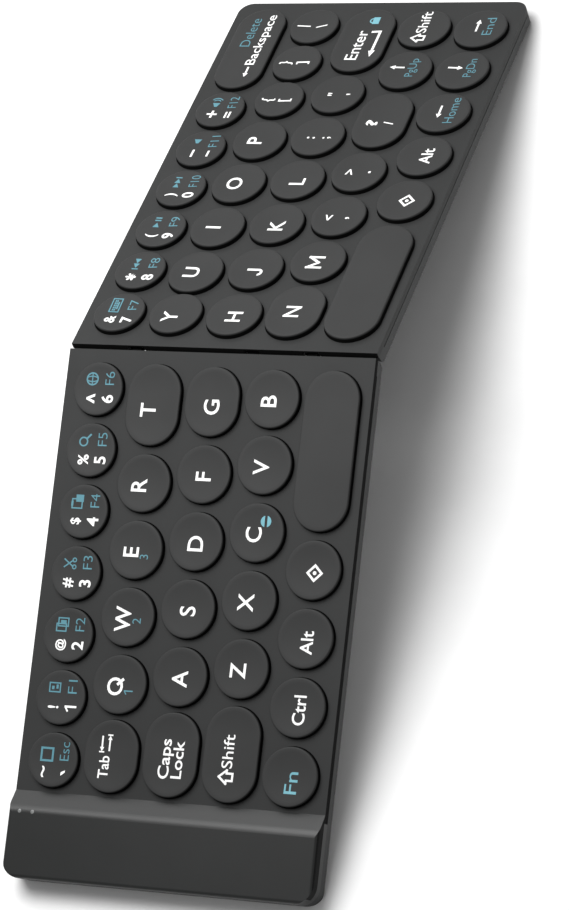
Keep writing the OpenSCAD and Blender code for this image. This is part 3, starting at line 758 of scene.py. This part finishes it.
class Word:
    """Lettering: its capitals' height, its middle, and its width where that is set."""

    def __init__(self, text, x, y, h=LETTER_H_MM, w=None, weight=BOLD, fit=False):
        self.text, self.x, self.y, self.h, self.w = text, x, y, h, w
        self.weight, self.fit = weight, fit


def digit_marks(digit, above, label, icon):
    """A number key: its symbol over its digit in white, and its other use in blue."""
    tall = DIGIT_H_MM * SYMBOL_SHARES.get(above, SYMBOL_SHARE)
    white = [
        Word(above, DIGIT_X_MM, SYMBOL_Y_MM, tall, weight=HEAVY, fit=True),
        Word(digit, DIGIT_X_MM, DIGIT_Y_MM, DIGIT_H_MM, weight=HEAVY),
    ]
    if digit == "1":
        white[1] = one(DIGIT_X_MM, DIGIT_Y_MM, DIGIT_H_MM)
    return white, [label_word(label), icon]


def one(x, y, h, width=0.55):
    """A 1 with a flag."""
    top = y + h / 2 - width / 2
    stem = line(width, (x + 0.1 * h, y - h / 2), (x + 0.1 * h, top))
    return stem + line(0.8 * width, (x + 0.05 * h, top), (x - 0.24 * h, top - 0.2 * h))


def label_word(text):
    return Word(text, 2.9, -3.15, LABEL_H_MM, LABEL_W_MM[len(text) - 2], THIN)


def pair_marks(above, below, x, y_above, y_below, h_above=2.0, h_below=2.0):
    return [Word(above, x, y_above, h_above, fit=True), Word(below, x, y_below, h_below, fit=True)], []


def letter(text, x, y):
    """A capital. Q gets a short tail, M slanted legs that stop short, and J stands on the line."""
    if text == "Q":
        return [Word("O", x, y), line(0.75, (x + 0.7, y - 0.8), (x + 1.8, y - 2.0))], []
    if text == "M":
        foot, reach = y - LETTER_H_MM / 2, 1.95
        top = y + LETTER_H_MM / 2 - 0.35
        dip = (x, foot + 1.0)
        corners = [(x - reach, foot), (x - reach, top), dip, (x + reach, top), (x + reach, foot)]
        return [line(LETTER_STROKE_MM, *corners)], []
    if text == "J":
        hook = ring(x - 0.55, y - 0.85, 1.3, LETTER_STROKE_MM, None, 180, 360)
        stem = line(LETTER_STROKE_MM, (x + 0.39, y + 2.1), (x + 0.39, y - 0.85))
        return [stem + hook], []
    return [Word(text, x, y)], []


def left_letters():
    """The left half's letters; each row's stand at their own height on the cap."""
    rows = {"zxcvb": 0.8, "asdf": 0.0, "qwer": 1.25}
    marks = {"key_" + c: letter(c.upper(), -0.55, y) for row, y in rows.items() for c in row}
    marks["key_g"] = letter("G", -1.4, 0.0)
    marks["key_t"] = letter("T", -1.4, 1.25)
    marks["key_q"][1].append(one(-1.8, -2.6, 2.4, 0.35))
    marks["key_w"][1].append(Word("2", -0.9, -2.7, 2.4, weight=THIN))
    marks["key_e"][1].append(Word("3", -1.7, -2.6, 2.4, weight=THIN))
    marks["key_c"] = (*marks["key_c"], [split_disc(3.0, -2.3, 1.5)])
    return marks


def split_disc(x, y, r):
    """A disc with a bar left out across its middle."""
    return [circle(x, y, r, None, 14, 166), circle(x, y, r, None, 194, 346)]


def right_letters():
    """The right half's letters; each row's stand at their own place on the cap."""
    rows = {"nm": (0.0, 0.8), "hjkl": (-0.65, -0.2), "yuiop": (0.0, 1.25)}
    marks = {"key_" + c: letter(c.upper(), x, y) for row, (x, y) in rows.items() for c in row}
    marks["key_y"] = letter("Y", -1.15, 1.25)
    marks["key_m"] = letter("M", -0.37, 0.8)
    return marks


def key_marks():
    """What each key bears, as (white, blue, pale blue), in the order of keys_of for a group."""
    marks = {name: [pair] for name, pair in {**left_letters(), **right_letters()}.items()}
    marks["left_command_keys"] = [
        ([], [], [Word("Fn", -1.5, -0.5, 3.4, 5.6, MEDIUM)]),
        ([Word("Ctrl", -0.66, -0.5, 3.3)], []),
        ([Word("Alt", -1.0, -0.5, 3.3)], []),
        ([lozenge(-0.7, -0.5)], []),
        ([shift_arrow(-5.75, 0.9), Word("Shift", 0.75, 0.9, 2.9, 8.6, MEDIUM)], []),
        ([Word("Caps", -1.1, 1.65, 2.9, 10.2), Word("Lock", -1.1, -2.05, 2.9, 9.6)], []),
        ([Word("Tab", -2.9, 1.8, 2.7, 5.8), tab_arrows()], []),
    ]
    marks["left_number_keys"] = [
        ([Word("~", -3.2, 2.6, 0.9, 2.9, fit=True), Word("`", -3.2, -3.2, 1.2, fit=True)],
         [page(1.35, 1.9, 3.2, 3.2, 0.55), Word("Esc", 2.4, -3.1, LABEL_H_MM, 4.8, THIN)]),
        digit_marks("1", "!", "F1", picture_mark(2.5, ICON_Y_MM)),
        digit_marks("2", "@", "F2", copy_mark(2.7, ICON_Y_MM)),
        digit_marks("3", "#", "F3", scissors(2.5, ICON_Y_MM)),
        digit_marks("4", "$", "F4", paste_mark(2.6, ICON_Y_MM)),
        digit_marks("5", "%", "F5", magnifier(2.5, ICON_Y_MM)),
        digit_marks("6", "^", "F6", globe(2.6, ICON_Y_MM)),
    ]
    marks["right_number_keys"] = [
        digit_marks("7", "&", "F7", small_keyboard(2.6, ICON_Y_MM)),
        digit_marks("8", "*", "F8", previous_track(2.6, ICON_Y_MM)),
        digit_marks("9", "(", "F9", play_pause(2.6, ICON_Y_MM)),
        digit_marks("0", ")", "F10", next_track(2.8, ICON_Y_MM)),
        ([box(-1.9, 1.9, 3.0, 0.6), box(-2.0, -2.8, 2.4, 0.6)],
         [speaker(3.2, ICON_Y_MM), label_word("F11")]),
        ([Word("+", -1.9, 1.9, 3.0, fit=True), Word("=", -2.2, -3.0, 1.7, fit=True)],
         [speaker(2.2, ICON_Y_MM, 2), label_word("F12")]),
    ]
    marks["punctuation_keys"] = [
        pair_marks("<", ",", -0.6, 2.7, -2.7, 2.2, 1.3),
        pair_marks(">", ".", 0.0, 2.7, -3.1, 2.2, 0.8),
        ([Word("?", -1.0, 2.75, 3.3, 2.3, HEAVIEST, True), Word("/", -1.0, -2.1, 3.0, fit=True)], []),
        pair_marks(":", ";", -0.4, 1.9, -2.8, 2.3, 2.6),
        pair_marks('"', "'", 0.0, 2.3, -3.2, 1.2, 1.2),
        pair_marks("{", "[", -0.2, 3.2, -1.8, 4.0, 4.0),
        pair_marks("}", "]", 0.0, 3.2, -1.8, 4.0, 4.0),
        pair_marks("|", "\\", 0.2, 3.2, -2.2, 4.0, 3.2),
    ]
    marks["right_command_keys"] = [
        ([lozenge(0.0, -0.6)], []),
        ([Word("Alt", 0.1, -0.6, 3.3)], []),
        ([arrow(0.6, 1.25, 4.8, 180)], [Word("Home", 0.9, -2.25, 2.8, 10.0, THIN)]),
        ([arrow(1.2, 2.3, 4.3, 270)], [Word("PgDn", 1.05, -2.0, 2.5, 7.3, THIN)]),
        ([arrow(1.5, 1.2, 4.8, 0)], [Word("End", 1.05, -2.25, 2.8, 7.0, THIN)]),
        ([arrow(1.2, 2.75, 4.3, 90)], [Word("PgUp", 1.05, -1.6, 2.5, 7.3, THIN)]),
        ([shift_arrow(-3.95, 0.7), Word("Shift", 2.7, 0.7, 2.9, 8.6, MEDIUM)], []),
        ([Word("Enter", -2.0, 1.25, 3.5, 12.5, MEDIUM), return_arrow()], [], [padlock(8.5, -0.6)]),
        ([arrow(-10.2, -2.4, 4.2, 180), Word("Backspace", 3.5, -2.2, 2.8, 21.3, MEDIUM)],
         [Word("Delete", 6.7, 2.1, WORD_H_MM, 12.0, THIN)]),
    ]
    return marks


def flat_slab(outlines):
    """Points and faces of thin closed plates; height 0 is their underside and 1 their top."""
    points, faces = [], []
    for outline in outlines:
        n, first = len(outline), len(points)
        points += [(x, y, 0.0) for x, y in outline] + [(x, y, 1.0) for x, y in outline]
        faces.append(tuple(first + i for i in reversed(range(n))))
        faces.append(tuple(first + n + i for i in range(n)))
        faces += [
            (first + i, first + (i + 1) % n, first + n + (i + 1) % n, first + n + i)
            for i in range(n)
        ]
    return np.array(points), faces


def letter_slab(word):
    """The same for lettering, from the built-in typeface."""
    curve = bpy.data.curves.new("lettering", "FONT")
    curve.body = word.text
    curve.offset = word.weight
    curve.extrude = 0.5
    curve.resolution_u = 4
    made = bpy.data.objects.new("lettering", curve)
    bpy.context.scene.collection.objects.link(made)
    bpy.context.view_layer.update()
    mesh = bpy.data.meshes.new_from_object(made.evaluated_get(bpy.context.evaluated_depsgraph_get()))
    points = np.array([v.co for v in mesh.vertices], float)
    faces = [tuple(p.vertices) for p in mesh.polygons]
    for data, block in ((bpy.data.objects, made), (bpy.data.curves, curve), (bpy.data.meshes, mesh)):
        data.remove(block)
    low, high = points.min(0), points.max(0)
    size = word.h / ((high[1] - low[1]) if word.fit else FONT_CAP_SHARE)
    stretch = word.w / (high[0] - low[0]) if word.w else size
    base = (low[1] + high[1]) / 2 if word.fit else FONT_CAP_SHARE / 2
    points[:, 0] = (points[:, 0] - (low[0] + high[0]) / 2) * stretch + word.x
    points[:, 1] = (points[:, 1] - base) * size + word.y
    points[:, 2] = points[:, 2] + 0.5
    return points, faces


def print_marks(node, keys, marks, inks):
    """One thin mesh with everything printed on a node's keys, lying on their dished tops."""
    points, faces, colours = [], [], []
    for key, by_ink in zip(keys, marks):
        for ink, items in enumerate(by_ink):
            for item in items:
                flat, its_faces = letter_slab(item) if isinstance(item, Word) else flat_slab(item)
                height = key.surface(flat[:, 0], flat[:, 1]) + PRINT_LIFT_MM
                placed = np.c_[flat[:, :2], height + flat[:, 2] * PRINT_THICKNESS_MM]
                first = len(points)
                points += list(key.placed(placed))
                faces += [tuple(first + i for i in f) for f in its_faces]
                colours += [ink] * len(its_faces)
    if not points:
        return
    print_mesh = mesh_object("print_" + node, points, faces, inks, colours)
    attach(print_mesh, node)


def dress_keys(halves, joints, materials):
    """Replaces every key node by finished caps, and prints their marks."""
    inks = [
        printed_ink("white_ink", (0.92, 0.92, 0.91)),
        printed_ink("blue_ink", (0.09, 0.245, 0.30)),
        printed_ink("pale_blue_ink", (0.16, 0.40, 0.47)),
    ]
    marks = key_marks()
    for joint in joints:
        if joint["type"] != "slide":
            continue
        node = joint["child"]
        keys = keys_of(node, halves[joint["parent"]])
        build_caps(node, keys, materials["key_plastic"], materials["key_skirt_painted_shade"])
        if node in marks:
            print_marks(node, keys, marks[node], inks)


def soften_edges(node, width_mm, segments=2):
    """Merges the flat faces of a moulded shell and rounds its sharp edges a little."""
    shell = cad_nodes[node]
    flat = shell.modifiers.new("flat", "DECIMATE")
    flat.decimate_type = "DISSOLVE"
    flat.angle_limit = math.radians(0.6)
    edge = shell.modifiers.new("edge", "BEVEL")
    edge.width = width_mm * MM
    edge.segments = segments
    edge.limit_method = "ANGLE"
    edge.angle_limit = math.radians(50)
    edge.miter_outer = "MITER_ARC"
    edge.harden_normals = True


def dress_nodes(record, materials):
    """Gives every CAD node the material of its slot."""
    for part in record["subparts"]:
        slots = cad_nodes[part["node"]].data.materials
        slots.clear()
        slots.append(materials.get(part["node"]) or materials[part["material_slot"]])


def make_camera():
    data = bpy.data.cameras.new("camera")
    data.sensor_fit = "HORIZONTAL"
    data.sensor_width = SENSOR_MM
    data.lens = LENS_MM
    data.clip_start, data.clip_end = 0.01, 20.0
    camera = bpy.data.objects.new("camera", data)
    bpy.context.scene.collection.objects.link(camera)
    forward = Vector(CAMERA_FORWARD).normalized()
    right = forward.cross(Vector(CAMERA_UP)).normalized()
    up = right.cross(forward)
    turn = Matrix((right, up, -forward)).transposed().to_4x4()
    camera.matrix_world = Matrix.Translation(Vector(CAMERA_CENTRE_MM) * MM) @ turn
    bpy.context.scene.camera = camera


def area_light(name, place, size, watts):
    data = bpy.data.lights.new(name, "AREA")
    data.shape = "RECTANGLE"
    data.size, data.size_y = size
    data.energy = watts
    light = bpy.data.objects.new(name, data)
    bpy.context.scene.collection.objects.link(light)
    light.location = place
    light.rotation_euler = (Vector(AIM) - Vector(place)).to_track_quat("-Z", "Y").to_euler()


def make_studio():
    """A pale floor, a soft light over the hinge, one far to the rear right, and an even fill."""
    half = FLOOR_SIZE / 2
    corners = [(-half, -half, 0), (half, -half, 0), (half, half, 0), (-half, half, 0)]
    material, tree, shader = new_material("floor")
    paper = noise(tree, object_coordinates(tree), 40.0, 4.0)
    tree.links.new(
        ramp(tree, paper, (0.90, 0.90, 0.90), (0.94, 0.94, 0.94)), shader.inputs["Base Color"]
    )
    shader.inputs["Roughness"].default_value = 0.9
    shader.inputs["Specular IOR Level"].default_value = 0.1
    floor = mesh_object("floor", corners, [(0, 1, 2, 3)], [material])
    world = bpy.data.worlds.new("studio")
    world.use_nodes = True
    bpy.context.scene.world = world
    background = world.node_tree.nodes["Background"]
    background.inputs["Color"].default_value = (1, 1, 1, 1)
    background.inputs["Strength"].default_value = WORLD_LIGHT
    area_light("top_light", **TOP_LIGHT)
    area_light("rim_light", **REAR_LIGHT)
    bpy.context.scene.view_settings.view_transform = "Standard"


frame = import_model()
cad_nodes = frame["nodes"]
joint_named = {joint["name"]: joint for joint in frame["joints"]}
halves = {
    "left_half": Half(joint_named["fold_left"], joint_named["left_space_bar_press"]),
    "right_half": Half(joint_named["fold_right"], joint_named["right_space_bar_press"]),
}
materials = make_materials(halves)
dress_nodes(frame["record"], materials)
for shell_node, edge_width in EDGE_WIDTH_MM.items():
    soften_edges(shell_node, edge_width)
dress_keys(halves, frame["joints"], materials)
make_camera()
make_studio()
